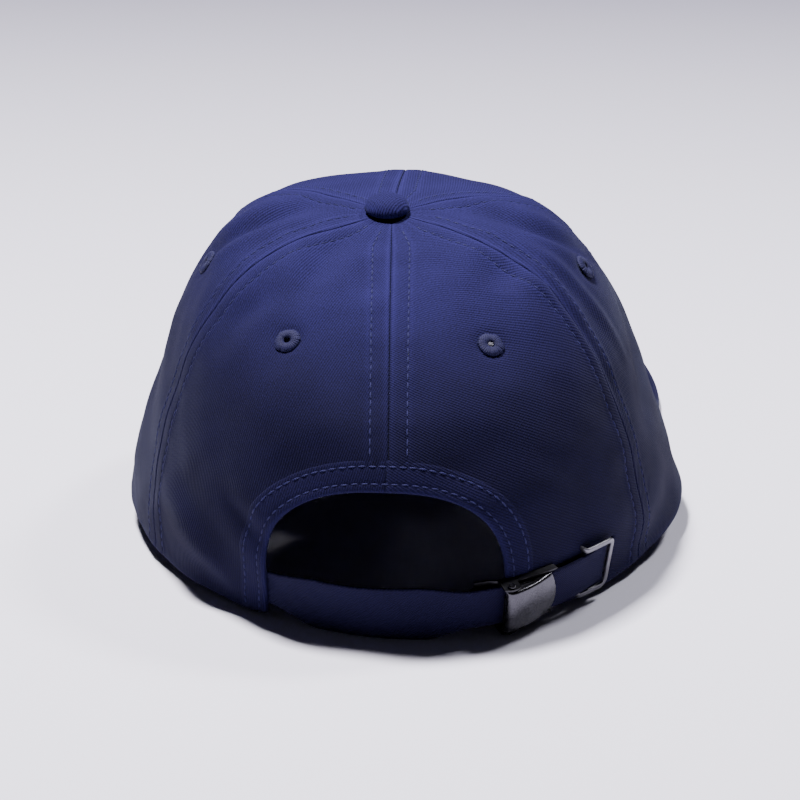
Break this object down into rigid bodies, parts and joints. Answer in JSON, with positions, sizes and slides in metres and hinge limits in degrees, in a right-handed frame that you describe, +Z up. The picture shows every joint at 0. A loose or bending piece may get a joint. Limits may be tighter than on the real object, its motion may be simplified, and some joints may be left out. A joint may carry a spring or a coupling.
{
  "type": "baseball cap",
  "caption": "Cotton twill baseball cap with panelled crown, curved visor, sewn eyelets, covered button and a cloth rear strap with a cam-lever buckle.",
  "frame": {"origin": "centre of the bounding box, at the height of the table the cap stands on", "axes": "+Z up; -Y forward, towards the visor; +Y towards the rear strap; +X to the wearer's left"},
  "size_m": [0.1758, 0.264, 0.1093],
  "materials": {
    "navy_twill": "brushed cotton twill, matt",
    "navy_tape": "plain woven cotton tape, matt",
    "navy_thread": "polyester embroidery thread, soft sheen",
    "dark_buckram": "stiffened open-weave cotton",
    "visor_board": "moulded sheet, matt",
    "brushed_steel": "brushed, nickel plated",
    "label_satin": "plain satin ribbon"
  },
  "bodies": {
    "crown": {"crown_panel_back_left": "navy_twill", "crown_panel_back_right": "navy_twill", "crown_panel_mid_left": "navy_twill", "crown_panel_mid_right": "navy_twill", "crown_panel_front_left": "navy_twill", "crown_panel_front_right": "navy_twill", "stiffener_front_left": "dark_buckram", "stiffener_front_right": "dark_buckram", "seam_tape_rear": "navy_tape", "seam_tape_rear_left": "navy_tape", "seam_tape_rear_right": "navy_tape", "seam_tape_front": "navy_tape", "seam_tape_front_left": "navy_tape", "seam_tape_front_right": "navy_tape", "eyelet_back_left": "navy_thread", "eyelet_back_right": "navy_thread", "eyelet_mid_left": "navy_thread", "eyelet_mid_right": "navy_thread", "eyelet_front_left": "navy_thread", "eyelet_front_right": "navy_thread", "button_cover": "navy_twill", "button_shell": "brushed_steel", "button_rivet": "brushed_steel", "visor_top_cover": "navy_twill", "visor_board": "visor_board", "visor_under_cover": "navy_twill", "arch_facing": "navy_tape", "sweatband": "navy_tape", "care_label": "label_satin", "buckle_frame": "brushed_steel", "buckle_pin": "brushed_steel", "buckle_tab": "navy_twill", "tuck_keeper": "brushed_steel", "keeper_plate": "brushed_steel"},
    "strap": {"strap": "navy_twill"},
    "buckle_lever": {"buckle_lever": "brushed_steel"}
  },
  "joints": [
    {"name": "buckle_lever_hinge", "type": "hinge", "parent": "crown", "child": "buckle_lever", "pos_m": [-0.03585, 0.12412, 0.00959], "axis": [0.0648, -0.2355, -0.9697], "range_deg": [0, 95]},
    {"name": "strap_slide", "type": "hinge", "parent": "crown", "child": "strap", "pos_m": [-0.00429, 0.0598, 0.01679], "axis": [0, 0.1045, 0.9945], "range_deg": [-8, 2]}
  ]
}
